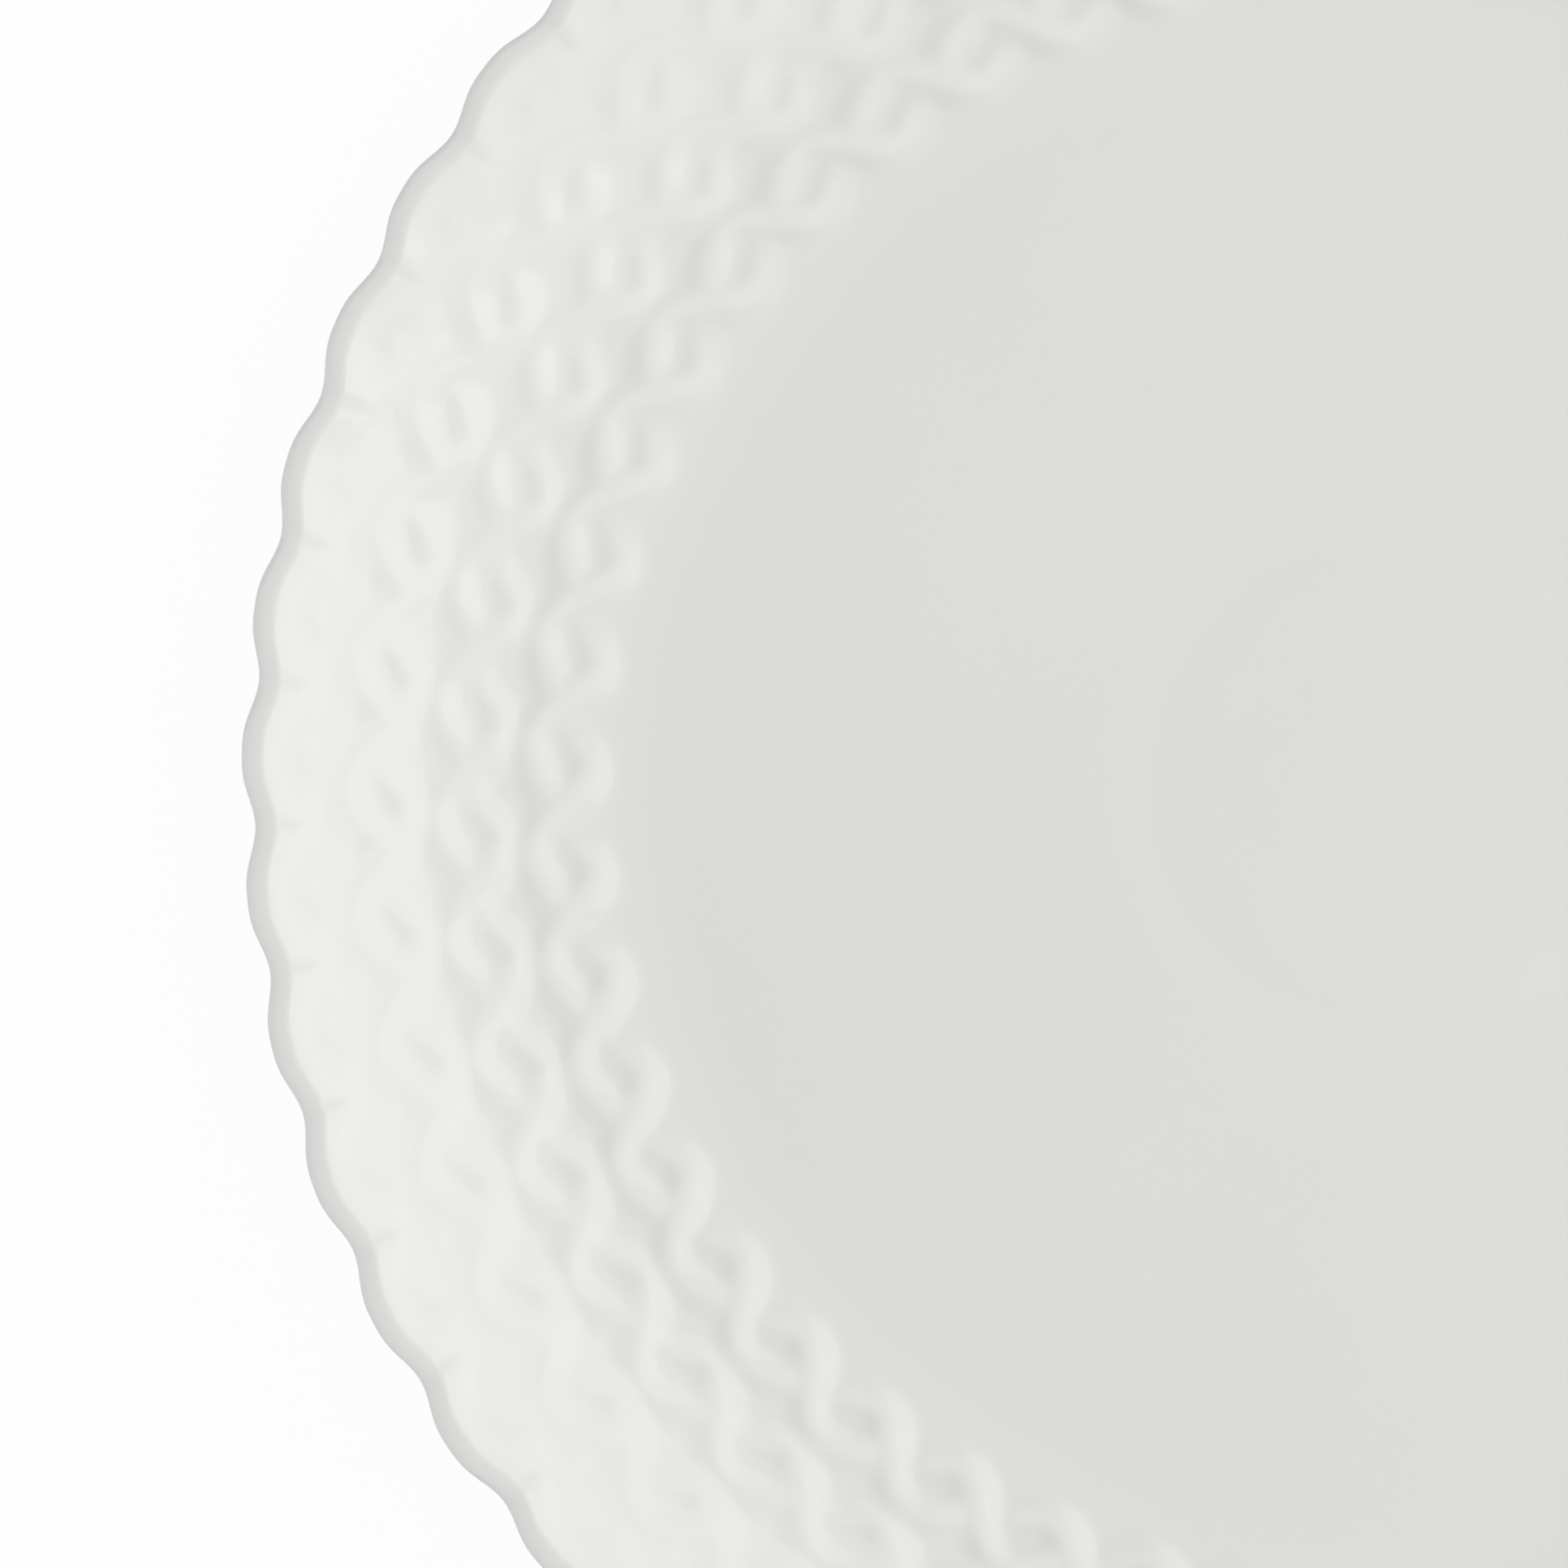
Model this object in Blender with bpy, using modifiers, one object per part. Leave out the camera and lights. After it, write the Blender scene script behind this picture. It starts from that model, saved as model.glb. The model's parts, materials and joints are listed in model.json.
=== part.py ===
"""A scalloped porcelain dinner plate: one turned body with a running-scroll relief on its rim."""

import math

import bmesh
import bpy

# Driving dimensions, in metres and degrees
PLATE_RADIUS = 0.135        # centre of the plate to the tip of a scallop
WALL = 0.0042               # thickness of the body, square to its surface
RIM_RISE = 0.0150           # well floor to the start of the lip
LIP_SLOPE = 30.0            # slope of the rim where the lip starts
PLAIN_RISE = 0.0064         # plain stretch between the flat well and the relief
FOOT_INSET = 0.0060         # edge of the flat well to the middle of the foot ring
FOOT_HEIGHT = 0.0035        # depth of the foot ring under the body
FOOT_FACE = 0.0024          # width of the flat face that the plate stands on
FOOT_FLARE = 0.0013         # how far each side of the foot ring widens upwards

# The relief: rows of scroll strands, one strand of each row for each scallop
SCALLOPS = 50
SCALLOP_DEPTH = 0.0015      # tip of a scallop to the notch beside it
NOTCH_SHARPNESS = 1.5       # 1 gives an even wave, and more gives broad tips and narrow notches
LIP_LIFT = 0.4              # share of a strand's height that carries on to the top of the lip
UNDER_SCALLOP = 0.5         # share of the scallop's depth that is left under the lip
STRAND_HEIGHT = 0.0011      # crest of a strand above the ground of its row
PIT_DEPTH = 0.0004          # floor of the pit between two strands, below the ground of its row
GROOVE_DEPTH = 0.0003       # groove between two rows, below their ground
ROW_WIDTHS = (0.0112, 0.0108, 0.0096, 0.0092)   # inner row to edge row
ROW_TURNS = (-0.18, 0.45, 1.17, 1.91)           # pit of the first strand, in pitches
LIP_TURN = 2.80                                 # tip of the first scallop, in pitches

# One strand, at stations across its row: the share of the row's width, how far round it leans there
# in pitches, the share of its height, and the share of the pit's depth beside it
STRAND_STATIONS = (
    (0.16, 0.05, 0.8, 0.0),
    (0.52, 0.47, 1.0, 1.0),
    (0.85, 0.87, 0.8, 0.0),
)

# How finely the body is divided
POINTS_PER_SCALLOP = 4
LIP_STEPS = 3
UNDERSIDE_STEPS = 3
SEAM_GAP = 0.00001          # points nearer than this are one point
CRISP_ANGLE = 40.0          # edges sharper than this stay crisp

# The glaze
GLAZE_COLOUR = (0.78, 0.78, 0.76, 1.0)
GLAZE_ROUGHNESS = 0.15

# Places that follow from the sizes
COLUMNS = SCALLOPS * POINTS_PER_SCALLOP
PITCH = 2 * math.pi / SCALLOPS
LIP_ANGLE = math.radians(LIP_SLOPE)
LIP_ROUND = WALL / 2
LIP_START = PLATE_RADIUS - LIP_ROUND * (1 + math.sin(LIP_ANGLE))
LAST_CREST = STRAND_STATIONS[-1][0]
RELIEF_START = LIP_START - sum(ROW_WIDTHS[:-1]) - LAST_CREST * ROW_WIDTHS[-1]
WELL_RADIUS = RELIEF_START - PLAIN_RISE
WELL_FLOOR = FOOT_HEIGHT + WALL
RIM_RUN = LIP_START - WELL_RADIUS
RIM_POWER = math.tan(LIP_ANGLE) * RIM_RUN / RIM_RISE
FOOT_RADIUS = WELL_RADIUS - FOOT_INSET


class Ring:
    """One ring of the turned body, with what the relief does to it."""

    def __init__(self, radius, height, turn=0.0, lift=0.0, pit=0.0, scallop=0.0):
        self.radius = radius
        self.height = height
        self.turn = turn
        self.lift = lift
        self.pit = pit
        self.scallop = scallop


def rim_share(radius):
    """How far up the rim a radius lies, from 0 in the flat well to 1 at the lip."""
    return max(0.0, (radius - WELL_RADIUS) / RIM_RUN)


def rim_height(radius):
    """Height of the plain top surface."""
    return WELL_FLOOR + RIM_RISE * rim_share(radius) ** RIM_POWER


def rim_angle(radius):
    """Slope of the plain top surface."""
    steepness = RIM_POWER * RIM_RISE / RIM_RUN * rim_share(radius) ** (RIM_POWER - 1)
    return math.atan(steepness)


def well_rings():
    """The flat well and the plain stretch that rises from it."""
    middle = WELL_RADIUS + PLAIN_RISE / 2
    return [
        Ring(0.0, WELL_FLOOR),
        Ring(WELL_RADIUS, WELL_FLOOR),
        Ring(middle, rim_height(middle)),
    ]


def relief_rings():
    """The rows of strands: a groove under each row, then the stations along its strands."""
    rings = []
    row_start = RELIEF_START
    turn_before = ROW_TURNS[0]
    for width, row_turn in zip(ROW_WIDTHS, ROW_TURNS):
        first_turn = row_turn + STRAND_STATIONS[0][1]
        groove_height = rim_height(row_start) - GROOVE_DEPTH
        rings.append(Ring(row_start, groove_height, (turn_before + first_turn) / 2))
        for across, lean, lift, pit in STRAND_STATIONS:
            radius = row_start + across * width
            rings.append(Ring(radius, rim_height(radius), row_turn + lean, lift, pit))
        turn_before = rings[-1].turn
        row_start += width
    rings[0].height = rim_height(RELIEF_START)
    rings[-1].turn = LIP_TURN
    return rings


def lip_rings():
    """The rounded lip, from the end of the relief over to the underside."""
    middle_radius = LIP_START + LIP_ROUND * math.sin(LIP_ANGLE)
    middle_height = rim_height(LIP_START) - LIP_ROUND * math.cos(LIP_ANGLE)
    rings = []
    for step in range(1, LIP_STEPS + 1):
        angle = math.pi / 2 + LIP_ANGLE - math.pi * step / LIP_STEPS
        radius = middle_radius + LIP_ROUND * math.cos(angle)
        height = middle_height + LIP_ROUND * math.sin(angle)
        rings.append(Ring(radius, height, LIP_TURN, scallop=1.0))
    rings[0].lift = LIP_LIFT
    rings[-1].scallop = UNDER_SCALLOP
    return rings


def underside_rings():
    """The underside of the rim, one wall below the top, in to the edge of the well."""
    rings = []
    for step in range(UNDERSIDE_STEPS - 1, -1, -1):
        top_radius = WELL_RADIUS + RIM_RUN * step / UNDERSIDE_STEPS
        angle = rim_angle(top_radius)
        radius = top_radius + WALL * math.sin(angle)
        height = rim_height(top_radius) - WALL * math.cos(angle)
        rings.append(Ring(radius, height, LIP_TURN))
    return rings


def foot_rings():
    """The foot ring with its flat standing face, and the recess inside it."""
    half_face = FOOT_FACE / 2
    half_root = half_face + FOOT_FLARE
    return [
        Ring(FOOT_RADIUS + half_root, FOOT_HEIGHT, LIP_TURN),
        Ring(FOOT_RADIUS + half_face, 0.0, LIP_TURN),
        Ring(FOOT_RADIUS - half_face, 0.0, LIP_TURN),
        Ring(FOOT_RADIUS - half_root, FOOT_HEIGHT, LIP_TURN),
        Ring(0.0, FOOT_HEIGHT),
    ]


def turned_mesh(name, rings):
    """The rings' outline, turned about Z with a Screw modifier and made a mesh."""
    outline = bpy.data.meshes.new(name + "_outline")
    points = [(ring.radius, 0.0, ring.height) for ring in rings]
    edges = [(index, index + 1) for index in range(len(points) - 1)]
    outline.from_pydata(points, edges, [])
    turner = bpy.data.objects.new(name + "_outline", outline)
    bpy.context.scene.collection.objects.link(turner)
    screw = turner.modifiers.new("turn", "SCREW")
    screw.axis = "Z"
    screw.angle = 2 * math.pi
    screw.steps = COLUMNS
    screw.render_steps = COLUMNS
    screw.use_merge_vertices = True
    screw.merge_threshold = SEAM_GAP
    depsgraph = bpy.context.evaluated_depsgraph_get()
    mesh = bpy.data.meshes.new_from_object(turner.evaluated_get(depsgraph))
    mesh.name = name
    bpy.data.objects.remove(turner)
    bpy.data.meshes.remove(outline)
    return mesh


def nearest_ring(rings, radius, height):
    """The ring that a point of the turned mesh belongs to."""
    return min(rings, key=lambda ring: math.hypot(ring.radius - radius, ring.height - height))


def press_relief(mesh, rings):
    """Turn each ring along the strands, raise the crests and draw in the notches of the edge."""
    shape = bmesh.new()
    shape.from_mesh(mesh)
    for point in shape.verts:
        radius = math.hypot(point.co.x, point.co.y)
        ring = nearest_ring(rings, radius, point.co.z)
        if ring.radius == 0.0:
            continue
        angle = math.atan2(point.co.y, point.co.x)
        swell = (1 + math.cos(SCALLOPS * angle)) / 2
        notch = (1 - swell) ** NOTCH_SHARPNESS
        turned_angle = angle + ring.turn * PITCH
        drawn_radius = ring.radius - ring.scallop * SCALLOP_DEPTH * notch
        point.co.x = drawn_radius * math.cos(turned_angle)
        point.co.y = drawn_radius * math.sin(turned_angle)
        point.co.z = ring.height + ring.lift * STRAND_HEIGHT * swell - ring.pit * PIT_DEPTH * notch
    bmesh.ops.recalc_face_normals(shape, faces=shape.faces)
    shape.to_mesh(mesh)
    shape.free()


def glaze_material():
    """White glazed porcelain."""
    material = bpy.data.materials.new("white_glaze")
    material.use_nodes = True
    shader = material.node_tree.nodes["Principled BSDF"]
    shader.inputs["Base Color"].default_value = GLAZE_COLOUR
    shader.inputs["Roughness"].default_value = GLAZE_ROUGHNESS
    shader.inputs["Metallic"].default_value = 0.0
    return material


def main():
    for thing in list(bpy.data.objects):
        bpy.data.objects.remove(thing)
    collection = bpy.data.collections.new("scalloped_plate")
    bpy.context.scene.collection.children.link(collection)
    rings = well_rings() + relief_rings() + lip_rings() + underside_rings() + foot_rings()
    mesh = turned_mesh("plate", rings)
    press_relief(mesh, rings)
    mesh.shade_smooth()
    mesh.set_sharp_from_angle(angle=math.radians(CRISP_ANGLE))
    mesh.materials.append(glaze_material())
    collection.objects.link(bpy.data.objects.new("plate", mesh))


main()
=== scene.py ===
"""A scalloped porcelain dinner plate on a pale studio floor, seen from straight above."""

import json
import math
from dataclasses import dataclass

import bmesh
import bpy
import numpy as np
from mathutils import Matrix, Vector


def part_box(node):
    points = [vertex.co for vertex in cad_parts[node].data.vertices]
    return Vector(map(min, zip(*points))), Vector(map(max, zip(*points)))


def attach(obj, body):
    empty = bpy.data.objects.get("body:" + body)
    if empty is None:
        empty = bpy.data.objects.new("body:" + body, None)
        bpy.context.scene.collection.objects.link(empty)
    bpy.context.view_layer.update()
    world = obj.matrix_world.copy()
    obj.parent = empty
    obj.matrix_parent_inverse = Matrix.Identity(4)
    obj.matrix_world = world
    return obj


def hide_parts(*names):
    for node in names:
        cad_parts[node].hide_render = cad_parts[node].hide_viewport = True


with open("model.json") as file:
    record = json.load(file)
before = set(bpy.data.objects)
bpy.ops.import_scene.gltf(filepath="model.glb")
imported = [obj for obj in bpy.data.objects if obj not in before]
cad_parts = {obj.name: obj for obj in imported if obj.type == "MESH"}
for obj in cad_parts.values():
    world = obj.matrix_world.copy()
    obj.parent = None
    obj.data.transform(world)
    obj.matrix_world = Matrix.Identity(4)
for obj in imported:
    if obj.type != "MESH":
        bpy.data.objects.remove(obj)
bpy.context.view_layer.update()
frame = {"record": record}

# A millimetre in metres, and a right angle in degrees
MM = 0.001
RIGHT_ANGLE = 90.0

# The turned body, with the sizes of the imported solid
PLATE_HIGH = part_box("plate")[1]
MOUNT_PLACES = {mount["name"]: mount["pos_m"] for mount in frame["record"]["mounts"]}
TIP_RADIUS = PLATE_HIGH.x
FOOT_RADIUS = MOUNT_PLACES["foot_face"][0]
WELL_FLOOR = MOUNT_PLACES["well_floor"][2]
WALL = 4.2 * MM
RIM_RISE = 15.0 * MM
LIP_SLOPE = math.radians(30.0)
FOOT_INSET = 6.0 * MM
FOOT_HEIGHT = WELL_FLOOR - WALL
FOOT_FACE = 2.4 * MM
FOOT_FLARE = 1.3 * MM
FOOT_ROUND = 0.5 * MM
ROOT_ROUND = 1.2 * MM
ROOT_BEND = 0.25
ROOT_SAG = 0.2
WELL_RADIUS = FOOT_RADIUS + FOOT_INSET
RIM_RUN = TIP_RADIUS - WALL / 2 * (1 + math.sin(LIP_SLOPE)) - WELL_RADIUS
RIM_POWER = math.tan(LIP_SLOPE) * RIM_RUN / RIM_RISE
RIM_EASE = 0.06
SLOPE_STEP = 0.01 * MM

# The faint turned groove in the middle of the well
WELL_GROOVE_RADIUS = 30.0 * MM
WELL_GROOVE_WIDTH = 3.2 * MM
WELL_GROOVE_REACH = 2 * WELL_GROOVE_WIDTH
WELL_GROOVE_DEPTH = 0.16 * MM

# The rounded lip: its reach, and its arcs down to the underside as radius, end slope in degrees, steps
LIP_REACH = 2.77 * MM
LIP_START = TIP_RADIUS - LIP_REACH
LIP_ARCS = ((1.6 * MM, 0.0, 3), (12.0 * MM, -6.0, 3), (0.8 * MM, -135.0, 5))

# The scallops of the edge
SCALLOPS = 50
PITCH = 2 * math.pi / SCALLOPS
SCALLOP_DEPTH = 1.5 * MM
SCALLOP_TURN = 2.80
NOTCH_SHARPNESS = 1.5
SCALLOP_FADE = (124.5 * MM, LIP_START)
LOBE_RISE = 0.22 * MM
LOBE_FADE = (122.0 * MM, LIP_START)
CREASE_DEPTH = 0.18 * MM
CREASE_SHARPNESS = 40.0
CREASE_FADE = (126.5 * MM, 131.0 * MM)
# How much the creases are darkened: painted shade, with some pooled glaze
CREASE_POOL_SHADE = 1.5

# The strands' cross-section, the soft edges of the ground between them, and the glaze over them, with a
# painted highlight along the strands and painted shade in their pits and grooves
STRAND_POINTS = 18
STRAND_PLUMPNESS = 2.2
STRAND_FOOT_EASE = 1.4
WEB_EDGE = 0.6 * MM
WEB_FADE = 1.4 * MM
SHELF_START = (0.95, 1.35)
SHELF_SIDE = (0.6 * MM, 2.2 * MM)
GROOVE_POINTS = 13
RELIEF_LEVEL = 0.62 * MM
RELIEF_FADE = (LIP_START - 1.2 * MM, LIP_START)
ROW_REACH = 9.0 * MM
GLAZE_REACH = 1.3 * MM
HIGHLIGHT_REACH = 0.7 * MM
HIGHLIGHT_EDGE = (0.28, 0.42)
BLUR_STEPS = 7
BLUR_WIDTH = 0.5
POOL_SHADE_EDGE = (0.2, 1.0)
LEVEL_POOL_AND_LIGHT = 0.5

# How finely the body is divided
RELIEF_COLUMNS = 20
WELL_COLUMNS = 4
UNDER_COLUMNS = 4
SEAM_GAP = 0.001 * MM
FINE_RING = 0.5 * MM
SOFT_RING = 0.62 * MM
RELIEF_BAND = (90.6 * MM, 112.6 * MM)
WELL_STEPS = 10
WELL_GROOVE_STEPS = 10
UNDER_STEPS = 16
ARC_STEPS = 4


@dataclass
class CommaPit:
    """The pit under a strand's hook, from its bulb to its tail."""

    bulb: tuple             # (pitches round, across)
    tail: tuple
    half_widths: tuple
    depth: float
    pool: float             # how much more glaze lies in it, and how much painted shade darkens it


@dataclass
class DomeGroove:
    """The thin groove over a strand's hook, in the form of an arch."""

    turn: float             # its middle, in pitches
    reach: float            # half its span, in pitches
    top: float              # across the row
    foot: float
    half_width: float
    depth: float
    # how much more glaze lies in it, and how much painted shade darkens it
    pool: float


@dataclass
class ScrollRow:
    """One row of scroll strands.

    Places round it are in pitches from a pit, and places across it are from its circle.
    """

    radius: float           # circle through the row's pits
    turn: float             # the first pit
    span: tuple             # a strand's start and end
    sweep: tuple            # where its middle line is lowest and highest
    end_ease: float         # how far that line curls back at the ends
    low: float
    high: float
    half_widths: tuple      # of a strand, at four stations along it
    heights: tuple          # of its crest there
    web: tuple              # height, inner edge and outer edge of the web that joins the strands
    shelf: float            # height of the ground outside the strands' hooks
    ground_highlight: float        # how much painted highlight whitens the ground between the strands, 1 for as white as a strand
    pit: CommaPit
    groove: DomeGroove | None = None


ROWS = (
    ScrollRow(
        radius=97.4 * MM, turn=-0.21, span=(-0.17, 1.26), sweep=(0.09, 0.84), end_ease=0.7,
        low=-2.35 * MM, high=4.4 * MM,
        half_widths=(2.8 * MM, 3.4 * MM, 2.2 * MM, 3.6 * MM),
        heights=(0.4 * MM, 0.98 * MM, 0.66 * MM, 0.8 * MM),
        web=(0.33 * MM, -1.0 * MM, 2.1 * MM), shelf=0.0, ground_highlight=0.05,
        pit=CommaPit(
            bulb=(0.07, 0.0), tail=(-0.21, 1.0 * MM), half_widths=(2.8 * MM, 1.1 * MM),
            depth=0.06 * MM, pool=0.65,
        ),
    ),
    ScrollRow(
        radius=107.3 * MM, turn=0.51, span=(-0.35, 1.21), sweep=(0.03, 0.79), end_ease=0.85,
        low=-1.55 * MM, high=5.65 * MM,
        half_widths=(1.9 * MM, 3.6 * MM, 2.3 * MM, 2.9 * MM),
        heights=(0.3 * MM, 0.8 * MM, 0.32 * MM, 0.63 * MM),
        web=(0.30 * MM, -0.25 * MM, 1.7 * MM), shelf=0.0, ground_highlight=0.85,
        pit=CommaPit(
            bulb=(-0.02, -0.3 * MM), tail=(-0.2, 1.2 * MM), half_widths=(1.9 * MM, 0.8 * MM),
            depth=0.11 * MM, pool=0.9,
        ),
        groove=DomeGroove(
            turn=-0.16, reach=0.50, top=6.4 * MM, foot=3.3 * MM,
            half_width=0.9 * MM, depth=0.04 * MM, pool=0.33,
        ),
    ),
    ScrollRow(
        radius=118.3 * MM, turn=1.20, span=(-0.22, 1.27), sweep=(0.05, 0.86), end_ease=1.16,
        low=-1.8 * MM, high=5.4 * MM,
        half_widths=(3.3 * MM, 3.8 * MM, 4.8 * MM, 3.5 * MM),
        heights=(0.57 * MM, 0.63 * MM, 0.8 * MM, 0.82 * MM),
        web=(0.0, -3.8 * MM, 0.75 * MM), shelf=0.78 * MM, ground_highlight=0.85,
        pit=CommaPit(
            bulb=(0.01, -0.7 * MM), tail=(-0.22, 1.4 * MM), half_widths=(2.0 * MM, 0.9 * MM),
            depth=0.08 * MM, pool=0.65,
        ),
        groove=DomeGroove(
            turn=-0.15, reach=0.50, top=5.5 * MM, foot=0.9 * MM,
            half_width=1.0 * MM, depth=0.07 * MM, pool=0.58,
        ),
    ),
    ScrollRow(
        radius=128.1 * MM, turn=1.94, span=(-0.22, 1.32), sweep=(0.06, 0.86), end_ease=0.72,
        low=-1.4 * MM, high=3.0 * MM,
        half_widths=(3.6 * MM, 4.5 * MM, 2.4 * MM, 2.4 * MM),
        heights=(0.68 * MM, 0.70 * MM, 0.68 * MM, 0.68 * MM),
        web=(0.62 * MM, -5.2 * MM, 9.0 * MM), shelf=0.62 * MM, ground_highlight=0.6,
        pit=CommaPit(
            bulb=(0.02, -0.8 * MM), tail=(-0.1, 0.6 * MM), half_widths=(1.4 * MM, 1.1 * MM),
            depth=0.08 * MM, pool=0.5,
        ),
    ),
)


def ease(value, start, end):
    """0 before start, 1 after end and smooth between them."""
    share = np.clip((value - start) / (end - start), 0.0, 1.0)
    return share * share * (3 - 2 * share)


def rim_share(radius):
    """How far up the rim a radius lies, with a soft start at the edge of the well."""
    share = (radius - WELL_RADIUS) / RIM_RUN
    return (share + np.sqrt(share * share + RIM_EASE * RIM_EASE)) / 2


def rim_height(radius):
    """Height of the plain top surface."""
    groove = np.exp(-((radius - WELL_GROOVE_RADIUS) / WELL_GROOVE_WIDTH) ** 2)
    return WELL_FLOOR + RIM_RISE * rim_share(radius) ** RIM_POWER - WELL_GROOVE_DEPTH * groove


def rim_slope(radius):
    """Slope of the plain top surface, as an angle."""
    rise = rim_height(radius + SLOPE_STEP) - rim_height(radius - SLOPE_STEP)
    return np.arctan(rise / (2 * SLOPE_STEP))


def from_turn(angle, turn):
    """Angle from a row's nearest pit, or from the nearest scallop's tip, in pitches."""
    pitches = angle / PITCH - turn
    return pitches - np.round(pitches)


def strand_line(row):
    """A strand's middle line as places round and across its row, with its half widths and crests there."""
    turns = np.linspace(*row.span, STRAND_POINTS)
    lowest, highest = row.sweep
    share = (turns - lowest) / (highest - lowest)
    kept = np.clip(share, 0.0, 1.0)
    swing = np.cos(math.pi * (kept + row.end_ease * (share - kept)))
    across = (row.high + row.low) / 2 - (row.high - row.low) / 2 * swing
    stations = np.linspace(*row.span, len(row.half_widths))
    widths = np.interp(turns, stations, row.half_widths)
    heights = np.interp(turns, stations, row.heights)
    return turns * PITCH * row.radius, across, widths, heights


def groove_line(row):
    """The groove's arch as places round and across its row."""
    groove = row.groove
    shares = np.linspace(-1.0, 1.0, GROOVE_POINTS)
    across = groove.top - (groove.top - groove.foot) * shares ** 2
    return (groove.turn + groove.reach * shares) * PITCH * row.radius, across


def swell(gap):
    """Cross-section of a strand: 1 on its crest, 0 from its foot on."""
    return np.clip(1 - gap ** STRAND_PLUMPNESS, 0.0, 1.0) ** STRAND_FOOT_EASE


def hollow(gap):
    """Cross-section of a pit or a groove: 1 in its middle, 0 from its edge on."""
    return np.clip(1 - gap * gap, 0.0, 1.0) ** 2


def gap_from_piece(along, across, start, end, widths):
    """Distance from a straight piece of a line, in half widths of it, and how far along it that is."""
    run, rise = end[0] - start[0], end[1] - start[1]
    share = ((along - start[0]) * run + (across - start[1]) * rise) / (run * run + rise * rise)
    share = np.clip(share, 0.0, 1.0)
    gap = np.hypot(along - start[0] - share * run, across - start[1] - share * rise)
    return gap / (widths[0] + share * (widths[1] - widths[0])), share


def copies_along(row, turns):
    """Places round a row from its nearest pit and from the pits on both sides of that."""
    return [(turns - neighbour) * PITCH * row.radius for neighbour in (-1, 0, 1)]


def strands_of(row, turns, across):
    """Height of a row's strands, and the distance from the nearest one's middle in half widths."""
    places, levels, widths, heights = strand_line(row)
    nearest = np.full(turns.shape, np.inf)
    height = np.zeros(turns.shape)
    for along in copies_along(row, turns):
        for index in range(STRAND_POINTS - 1):
            start, end = (places[index], levels[index]), (places[index + 1], levels[index + 1])
            gap, share = gap_from_piece(along, across, start, end, widths[index:index + 2])
            crest = heights[index] + share * (heights[index + 1] - heights[index])
            height = np.maximum(height, crest * swell(gap))
            nearest = np.minimum(nearest, gap)
    return height, nearest


def cast_row(row, turns, across):
    """Height of one row before the glaze: its strands, the web between them and the shelf outside."""
    strands, gap = strands_of(row, turns, across)
    web_height, web_start, web_end = row.web
    web = web_height * ease(across, web_start - WEB_EDGE, web_start + WEB_EDGE)
    web = web * (1 - ease(across, web_end - WEB_FADE, web_end + WEB_FADE))
    shelf = row.shelf * ease(gap, *SHELF_START) * ease(across, *SHELF_SIDE)
    return np.maximum.reduce([strands, web, shelf])


def highlight_row(row, turns, across):
    """Painted highlight of one row: 1 along its strands, less on the ground that joins them."""
    _, gap = strands_of(row, turns, across)
    web_start = row.web[1]
    ground = row.ground_highlight * ease(across, web_start - WEB_EDGE, web_start + WEB_EDGE)
    return np.maximum(1 - ease(gap, *HIGHLIGHT_EDGE), ground)


def gap_from_pit(row, turns, across):
    """Distance from the middle of a row's nearest pit, in half widths of it."""
    pit = row.pit
    pitch = PITCH * row.radius
    bulb, tail = (pit.bulb[0] * pitch, pit.bulb[1]), (pit.tail[0] * pitch, pit.tail[1])
    gaps = [
        gap_from_piece(along, across, bulb, tail, pit.half_widths)[0]
        for along in copies_along(row, turns)
    ]
    return np.minimum.reduce(gaps)


def gap_from_groove(row, turns, across):
    """Distance from the middle of a row's nearest groove, in half widths of it."""
    widths = (row.groove.half_width, row.groove.half_width)
    places, levels = groove_line(row)
    nearest = np.full(turns.shape, np.inf)
    for along in copies_along(row, turns):
        for index in range(GROOVE_POINTS - 1):
            start, end = (places[index], levels[index]), (places[index + 1], levels[index + 1])
            nearest = np.minimum(nearest, gap_from_piece(along, across, start, end, widths)[0])
    return nearest


def cut_row(row, turns, across):
    """Depth of one row's pits and grooves."""
    depth = row.pit.depth * hollow(gap_from_pit(row, turns, across))
    if row.groove:
        depth = np.maximum(depth, row.groove.depth * hollow(gap_from_groove(row, turns, across)))
    return depth


def pool_shade_row(row, turns, across):
    """How much more glaze lies in one row's pits and grooves, and how much painted shade darkens them."""
    pool = row.pit.pool * (1 - ease(gap_from_pit(row, turns, across), *POOL_SHADE_EDGE))
    if row.groove:
        pool = np.maximum(pool, row.groove.pool * hollow(gap_from_groove(row, turns, across)))
    return pool


def highest_row(part, radius, angle):
    """The most that any row gives at each point, for one part of the relief."""
    radius, angle = np.broadcast_arrays(radius, angle)
    most = np.zeros(radius.shape)
    for row in ROWS:
        near = np.abs(radius - row.radius) < ROW_REACH
        turns = from_turn(angle[near], row.turn)
        most[near] = np.maximum(most[near], part(row, turns, radius[near] - row.radius))
    return most


def notch_share(angle):
    """0 at the tips of the scallops, 1 in the notches."""
    turns = from_turn(angle, SCALLOP_TURN)
    return (1 - np.cos(2 * math.pi * turns)) / 2


def crease_share(radius, angle):
    """1 along the thin crease that runs inwards from each notch, 0 beside it."""
    return notch_share(angle) ** CREASE_SHARPNESS * ease(radius, *CREASE_FADE)


def lobe_height(radius, angle):
    """Each scallop swells as a lobe, with creases between the lobes."""
    lobe = LOBE_RISE * (1 - 2 * notch_share(angle) ** NOTCH_SHARPNESS)
    return lobe * ease(radius, *LOBE_FADE) - CREASE_DEPTH * crease_share(radius, angle)


def relief_rings():
    """Radii of the rings of the relief, closer on the two crisp inner rows."""
    start, change = RELIEF_BAND
    fine = np.arange(start, change, FINE_RING)
    soft_count = round((LIP_START - change) / SOFT_RING)
    soft = np.linspace(change, LIP_START, soft_count + 1)
    return np.concatenate([fine, soft])


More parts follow.
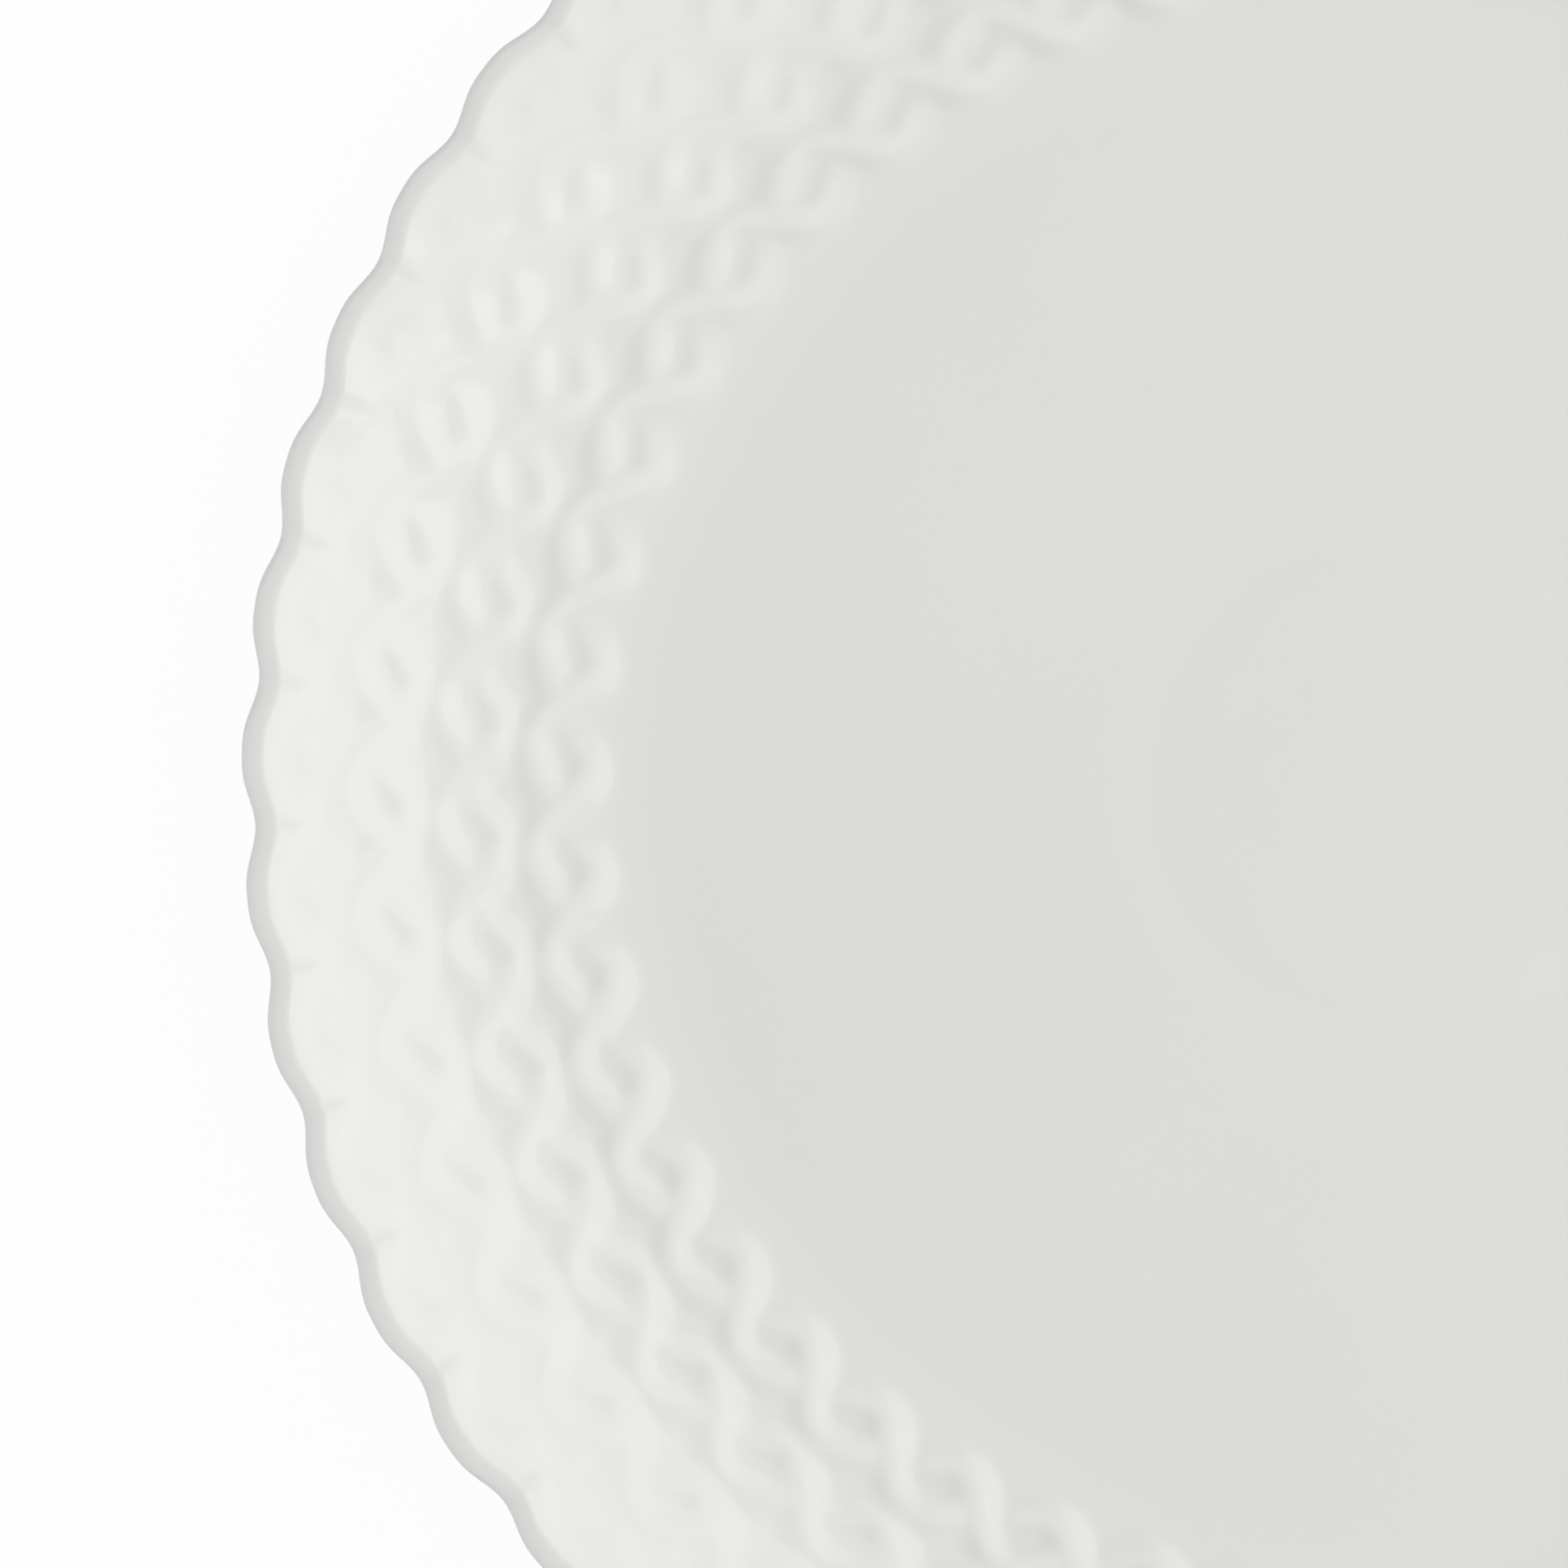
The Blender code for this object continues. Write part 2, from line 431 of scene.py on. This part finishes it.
def blurred(part, radius, angle, reach):
    """Mean of one part of the relief around a point, with less weight further out."""
    places = np.linspace(-1.0, 1.0, BLUR_STEPS)
    weights = np.exp(-places ** 2 / (2 * BLUR_WIDTH ** 2))
    total = np.zeros(radius.shape)
    for across, across_weight in zip(places, weights):
        for along, along_weight in zip(places, weights):
            nearby = highest_row(part, radius + across * reach, angle + along * reach / radius)
            total += across_weight * along_weight * nearby
    return total / weights.sum() ** 2


def glazed_relief(radius, angle):
    """Height of the relief under its glaze, which softens every edge, and a tone for the glaze's colour
    that follows how deep the glaze lies, with painted light.

    The tone is near 0 on crests, where glaze runs off and a highlight is painted, a half on level ground
    and near 1 in pits, grooves and creases, where glaze pools and shade is painted.
    """
    height = blurred(cast_row, radius, angle, GLAZE_REACH) - highest_row(cut_row, radius, angle)
    # Darker in pits, grooves and creases with painted shade and pooled glaze; whiter along the strands
    # with a painted highlight
    pool = highest_row(pool_shade_row, radius, angle) + CREASE_POOL_SHADE * crease_share(radius, angle)
    white = blurred(highlight_row, radius, angle, HIGHLIGHT_REACH) - pool
    pool_and_light = np.clip((1 - white) / 2, 0.0, 1.0)
    level = RELIEF_LEVEL * ease(radius, ROWS[0].radius, LIP_START)
    return (height - level) * (1 - ease(radius, *RELIEF_FADE)), pool_and_light


def arc(middle, size, start, end, steps):
    """Points on an arc about a middle, between two angles in degrees."""
    angles = np.radians(np.linspace(start, end, steps + 1))
    return [(middle[0] + size * math.cos(angle), middle[1] + size * math.sin(angle)) for angle in angles]


def well_outline():
    """From the middle of the well to the plain stretch at the foot of the rim."""
    groove_start = WELL_GROOVE_RADIUS - WELL_GROOVE_REACH
    groove_end = WELL_GROOVE_RADIUS + WELL_GROOVE_REACH
    groove = np.linspace(groove_start, groove_end, WELL_GROOVE_STEPS + 1)
    edge = np.linspace(WELL_RADIUS - FOOT_INSET, RELIEF_BAND[0] - FINE_RING, WELL_STEPS)
    radii = np.concatenate([[0.0, groove[0] / 2], groove, [(groove[-1] + edge[0]) / 2], edge])
    return [(radius, float(rim_height(radius))) for radius in radii]


def relief_outline():
    """The relief's rings and the rounded lip, before the relief is raised."""
    outline = [(radius, float(rim_height(radius))) for radius in relief_rings()]
    slope = math.degrees(LIP_SLOPE)
    for size, end_slope, steps in LIP_ARCS:
        radius, height = outline[-1]
        lean = math.radians(slope)
        middle = (radius + size * math.sin(lean), height - size * math.cos(lean))
        outline += arc(middle, size, RIGHT_ANGLE + slope, RIGHT_ANGLE + end_slope, steps)[1:]
        slope = end_slope
    return outline


def under_outline():
    """The underside, from inside the lip over the foot ring to the middle of its recess."""
    outline = []
    for share in np.linspace(1.0, 0.0, UNDER_STEPS + 1)[1:]:
        top_radius = WELL_RADIUS + RIM_RUN * share
        slope = float(rim_slope(top_radius))
        outline.append((
            top_radius + WALL * math.sin(slope),
            float(rim_height(top_radius)) - WALL * math.cos(slope),
        ))
    half_face = FOOT_FACE / 2
    half_root = half_face + FOOT_FLARE
    lean = math.degrees(math.atan2(FOOT_HEIGHT, FOOT_FLARE))
    foot_side = [
        (half_root + ROOT_ROUND, FOOT_HEIGHT),
        (half_root + ROOT_ROUND * ROOT_BEND, FOOT_HEIGHT - ROOT_ROUND * ROOT_SAG),
        (half_root - FOOT_FLARE * ROOT_BEND, FOOT_HEIGHT - ROOT_ROUND),
    ]
    edge_middle = (half_face - FOOT_ROUND / 2, FOOT_ROUND)
    foot_side += arc(edge_middle, FOOT_ROUND, RIGHT_ANGLE - lean, -RIGHT_ANGLE, ARC_STEPS)
    outline += [(FOOT_RADIUS + reach, height) for reach, height in foot_side]
    outline += [(FOOT_RADIUS - reach, height) for reach, height in reversed(foot_side)]
    outline += [(FOOT_RADIUS - half_root - 2 * ROOT_ROUND, FOOT_HEIGHT), (0.0, FOOT_HEIGHT)]
    return outline


def turn_outline(shape, outline, columns):
    """Spin an outline of radii and heights through one scallop."""
    points = [shape.verts.new((radius, 0.0, height)) for radius, height in outline]
    edges = [shape.edges.new(pair) for pair in zip(points, points[1:])]
    bmesh.ops.spin(
        shape, geom=points + edges, cent=(0, 0, 0), axis=(0, 0, 1), angle=PITCH, steps=columns,
    )


def raise_relief(shape):
    """Raise the scrolls, swell the lobe and draw the notches in, and note where the glaze pools, with
    painted shade in the hollows and a painted highlight on the crests.
    """
    pool_light_layer = shape.verts.layers.float.new("glaze_pool_and_painted_light")
    points = np.array([point.co for point in shape.verts])
    radius = np.hypot(points[:, 0], points[:, 1])
    angle = np.arctan2(points[:, 1], points[:, 0])
    on_top = points[:, 2] > rim_height(np.minimum(radius, LIP_START)) - WALL / 2
    raised = on_top & (radius > RELIEF_BAND[0] - FINE_RING / 2) & (radius < LIP_START + SEAM_GAP)
    pool_and_light = np.full(len(points), LEVEL_POOL_AND_LIGHT)
    relief, pool_and_light[raised] = glazed_relief(radius[raised], angle[raised])
    points[raised, 2] += relief
    points[:, 2] += lobe_height(radius, angle)
    drawn = SCALLOP_DEPTH * notch_share(angle) ** NOTCH_SHARPNESS * ease(radius, *SCALLOP_FADE)
    points[:, :2] *= (1 - drawn / np.maximum(radius, MM))[:, None]
    for point, place, pool_light in zip(shape.verts, points, pool_and_light):
        point.co = place
        point[pool_light_layer] = pool_light


def ring_radius(ring):
    """How far from the axis a ring of edges reaches."""
    return max(point.co.xy.length for edge in ring for point in edge.verts)


def open_rings(shape):
    """The open edges of the turned surfaces, one list for each closed ring, from the axis outwards."""
    left = dict.fromkeys(edge for edge in shape.edges if edge.is_boundary)
    rings = []
    while left:
        ring = [left.popitem()[0]]
        for edge in ring:
            near = [other for point in edge.verts for other in point.link_edges if other in left]
            for other in near:
                del left[other]
            ring.extend(near)
        rings.append(ring)
    return sorted(rings, key=ring_radius)


def plate_mesh():
    """The plate's skin: one scallop's wedge of it, repeated all round and joined."""
    shape = bmesh.new()
    turn_outline(shape, well_outline(), WELL_COLUMNS)
    turn_outline(shape, relief_outline(), RELIEF_COLUMNS)
    turn_outline(shape, under_outline(), UNDER_COLUMNS)
    raise_relief(shape)
    wedge = shape.verts[:] + shape.edges[:] + shape.faces[:]
    bmesh.ops.spin(
        shape, geom=wedge, cent=(0, 0, 0), axis=(0, 0, 1),
        angle=2 * math.pi - PITCH, steps=SCALLOPS - 1, use_duplicate=True,
    )
    bmesh.ops.remove_doubles(shape, verts=shape.verts, dist=SEAM_GAP)
    well_ring, relief_ring, under_ring, lip_ring = open_rings(shape)
    bmesh.ops.bridge_loops(shape, edges=well_ring + relief_ring)
    bmesh.ops.bridge_loops(shape, edges=under_ring + lip_ring)
    bmesh.ops.recalc_face_normals(shape, faces=shape.faces)
    mesh = bpy.data.meshes.new("glazed_plate")
    shape.to_mesh(mesh)
    shape.free()
    return mesh


# The glaze from thin to deep, whiter with a painted highlight on the crests and greyer with painted shade
# in the hollows; its gloss and its faint clouds
GLAZE_THIN_PAINTED_HIGHLIGHT = (0.8, 0.802, 0.786, 1.0)
GLAZE_LEVEL = (0.769, 0.771, 0.752, 1.0)
GLAZE_THICK_PAINTED_SHADE = (0.736, 0.738, 0.718, 1.0)
GLAZE_IOR = 1.5
GLAZE_SMOOTHEST = 0.06
GLAZE_ROUGHEST = 0.10
CLOUD_SCALE = 18.0
CLOUD_DETAIL = 2.0
CLOUD_TINT = 0.03

# The bare clay of the standing face
CLAY_DARK = (0.60, 0.57, 0.51, 1.0)
CLAY_PALE = (0.72, 0.70, 0.65, 1.0)
CLAY_GRAIN = 900.0
CLAY_ROUGHNESS = 0.75


def glaze_material():
    """White glaze: glossy, a little greyer where it pools and where shade is painted in the hollows,
    whiter where a highlight is painted on the crests, with faint clouds.
    """
    material = bpy.data.materials.new("white_glaze")
    material.use_nodes = True
    tree = material.node_tree
    shader = tree.nodes["Principled BSDF"]
    shader.inputs["IOR"].default_value = GLAZE_IOR
    place = tree.nodes.new("ShaderNodeTexCoord")
    pool_and_light = tree.nodes.new("ShaderNodeAttribute")
    pool_and_light.attribute_name = "glaze_pool_and_painted_light"
    # The ramp paints a highlight on the crests and shade in the hollows into the glaze colour
    body = tree.nodes.new("ShaderNodeValToRGB")
    stops = body.color_ramp.elements
    stops[0].color = GLAZE_THIN_PAINTED_HIGHLIGHT
    stops[1].color = GLAZE_THICK_PAINTED_SHADE
    level = stops.new(LEVEL_POOL_AND_LIGHT)
    level.color = GLAZE_LEVEL
    tree.links.new(pool_and_light.outputs["Fac"], body.inputs["Fac"])
    clouds = tree.nodes.new("ShaderNodeTexNoise")
    clouds.inputs["Scale"].default_value = CLOUD_SCALE
    clouds.inputs["Detail"].default_value = CLOUD_DETAIL
    tree.links.new(place.outputs["Object"], clouds.inputs["Vector"])
    tint = tree.nodes.new("ShaderNodeMix")
    tint.data_type = "RGBA"
    tint.blend_type = "MULTIPLY"
    tint.inputs["Factor"].default_value = CLOUD_TINT
    tree.links.new(body.outputs["Color"], tint.inputs["A"])
    tree.links.new(clouds.outputs["Fac"], tint.inputs["B"])
    tree.links.new(tint.outputs["Result"], shader.inputs["Base Color"])
    gloss = tree.nodes.new("ShaderNodeMapRange")
    gloss.inputs["To Min"].default_value = GLAZE_SMOOTHEST
    gloss.inputs["To Max"].default_value = GLAZE_ROUGHEST
    tree.links.new(clouds.outputs["Fac"], gloss.inputs["Value"])
    tree.links.new(gloss.outputs["Result"], shader.inputs["Roughness"])
    return material


def bare_material():
    """The unglazed standing face: matt, slightly warm and finely grained."""
    material = bpy.data.materials.new("bare_foot")
    material.use_nodes = True
    tree = material.node_tree
    shader = tree.nodes["Principled BSDF"]
    place = tree.nodes.new("ShaderNodeTexCoord")
    grain = tree.nodes.new("ShaderNodeTexNoise")
    grain.inputs["Scale"].default_value = CLAY_GRAIN
    tree.links.new(place.outputs["Object"], grain.inputs["Vector"])
    tint = tree.nodes.new("ShaderNodeMix")
    tint.data_type = "RGBA"
    tint.inputs["A"].default_value = CLAY_DARK
    tint.inputs["B"].default_value = CLAY_PALE
    tree.links.new(grain.outputs["Fac"], tint.inputs["Factor"])
    tree.links.new(tint.outputs["Result"], shader.inputs["Base Color"])
    shader.inputs["Roughness"].default_value = CLAY_ROUGHNESS
    return material


def make_plate():
    """The plate as one piece, with a glazed skin and a bare standing face."""
    mesh = plate_mesh()
    mesh.shade_smooth()
    mesh.materials.append(glaze_material())
    mesh.materials.append(bare_material())
    for face in mesh.polygons:
        if face.center.z < FOOT_ROUND / 2:
            face.material_index = 1
    plate = bpy.data.objects.new("glazed_plate", mesh)
    bpy.context.scene.collection.objects.link(plate)
    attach(plate, "root")
    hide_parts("plate")


# The photo's frame: pixels across, the plate's middle in it, and the radius of the tips there
FRAME_PIXELS = 1932.0
CENTRE_PIXEL = (1746.0, 963.8)
TIP_PIXELS = 1449.0
CAMERA_LENS = 500.0
CAMERA_SENSOR = 36.0

# The floor lies a hair under the standing face, so that the two never share a plane
FLOOR_GAP = 0.02 * MM
FLOOR_HALF = 4.0
FLOOR_COLOUR = (0.9, 0.9, 0.9, 1.0)
FLOOR_ROUGHNESS = 0.9

# How white the camera sees the floor and the room, and the room's even light on the plate
FLOOR_SEEN = 0.95
ROOM_SEEN = 1.0
ROOM_LIGHT = 0.39
ROOM_COLOUR = (1.0, 1.0, 1.0, 1.0)


@dataclass
class SoftLight:
    """A soft light that faces the plate."""

    name: str
    azimuth: float          # in degrees
    tilt: float             # from straight above, in degrees
    size: tuple             # width and height, in metres
    power: float            # in watts
    shows: bool = True      # whether the glaze reflects it


LIGHT_DISTANCE = 1.2
LIGHTS = (
    SoftLight("key", azimuth=25.0, tilt=57.0, size=(1.8, 1.15), power=4.4),
    SoftLight("left", azimuth=197.0, tilt=67.0, size=(1.8, 1.3), power=4.2),
    SoftLight("rake", azimuth=357.0, tilt=70.0, size=(1.4, 0.8), power=7.0, shows=False),
    SoftLight("overhead", azimuth=0.0, tilt=0.0, size=(1.2, 1.2), power=4.3, shows=False),
)


def make_camera():
    """Straight above the plate, framed as the photo is."""
    pixel = TIP_RADIUS / TIP_PIXELS
    width = FRAME_PIXELS * pixel
    data = bpy.data.cameras.new("camera")
    data.lens = CAMERA_LENS
    data.sensor_width = CAMERA_SENSOR
    camera = bpy.data.objects.new("camera", data)
    camera.location = (
        (FRAME_PIXELS / 2 - CENTRE_PIXEL[0]) * pixel,
        (CENTRE_PIXEL[1] - FRAME_PIXELS / 2) * pixel,
        PLATE_HIGH.z + width * CAMERA_LENS / CAMERA_SENSOR,
    )
    bpy.context.scene.collection.objects.link(camera)
    bpy.context.scene.camera = camera


def make_light(light):
    """The lamp of a soft light, in its place and turned to the plate."""
    data = bpy.data.lights.new(light.name, "AREA")
    data.shape = "RECTANGLE"
    data.size, data.size_y = light.size
    data.energy = light.power
    lamp = bpy.data.objects.new(light.name, data)
    turn, lean = math.radians(light.azimuth), math.radians(light.tilt)
    away = Vector((math.sin(lean) * math.cos(turn), math.sin(lean) * math.sin(turn), math.cos(lean)))
    lamp.location = away * LIGHT_DISTANCE
    lamp.rotation_mode = "QUATERNION"
    lamp.rotation_quaternion = away.to_track_quat("Z", "Y")
    lamp.visible_glossy = light.shows
    bpy.context.scene.collection.objects.link(lamp)


def background_share(tree, seen=1.0):
    """A node that is 1 for what the camera sees, straight or in gloss or glass, times a share."""
    path = tree.nodes.new("ShaderNodeLightPath")
    total = path.outputs["Is Camera Ray"]
    for ray in ("Is Glossy Ray", "Is Transmission Ray"):
        plus = tree.nodes.new("ShaderNodeMath")
        plus.operation = "MAXIMUM"
        tree.links.new(total, plus.inputs[0])
        tree.links.new(path.outputs[ray], plus.inputs[1])
        total = plus.outputs[0]
    share = tree.nodes.new("ShaderNodeMath")
    share.operation = "MULTIPLY"
    share.inputs[1].default_value = seen
    tree.links.new(total, share.inputs[0])
    return share.outputs[0]


def make_floor():
    """A pale floor that the plate stands on, which keeps a light shadow."""
    shape = bmesh.new()
    bmesh.ops.create_grid(shape, x_segments=1, y_segments=1, size=FLOOR_HALF)
    mesh = bpy.data.meshes.new("floor")
    shape.to_mesh(mesh)
    shape.free()
    material = bpy.data.materials.new("pale_floor")
    material.use_nodes = True
    tree = material.node_tree
    surface = tree.nodes["Principled BSDF"]
    surface.inputs["Base Color"].default_value = FLOOR_COLOUR
    surface.inputs["Roughness"].default_value = FLOOR_ROUGHNESS
    glow = tree.nodes.new("ShaderNodeEmission")
    both = tree.nodes.new("ShaderNodeMixShader")
    tree.links.new(background_share(tree, FLOOR_SEEN), both.inputs["Fac"])
    tree.links.new(surface.outputs["BSDF"], both.inputs[1])
    tree.links.new(glow.outputs["Emission"], both.inputs[2])
    tree.links.new(both.outputs["Shader"], tree.nodes["Material Output"].inputs["Surface"])
    mesh.materials.append(material)
    floor = bpy.data.objects.new("floor", mesh)
    floor.location.z = -FLOOR_GAP
    bpy.context.scene.collection.objects.link(floor)


def make_world():
    """An even pale room, white where the camera sees it."""
    world = bpy.data.worlds.new("room")
    world.use_nodes = True
    tree = world.node_tree
    room = tree.nodes["Background"]
    room.inputs["Color"].default_value = ROOM_COLOUR
    strength = tree.nodes.new("ShaderNodeMapRange")
    strength.inputs["To Min"].default_value = ROOM_LIGHT
    strength.inputs["To Max"].default_value = ROOM_SEEN
    tree.links.new(background_share(tree), strength.inputs["Value"])
    tree.links.new(strength.outputs["Result"], room.inputs["Strength"])
    bpy.context.scene.world = world


make_plate()
make_camera()
make_floor()
make_world()
for light in LIGHTS:
    make_light(light)
bpy.context.scene.view_settings.view_transform = "Standard"
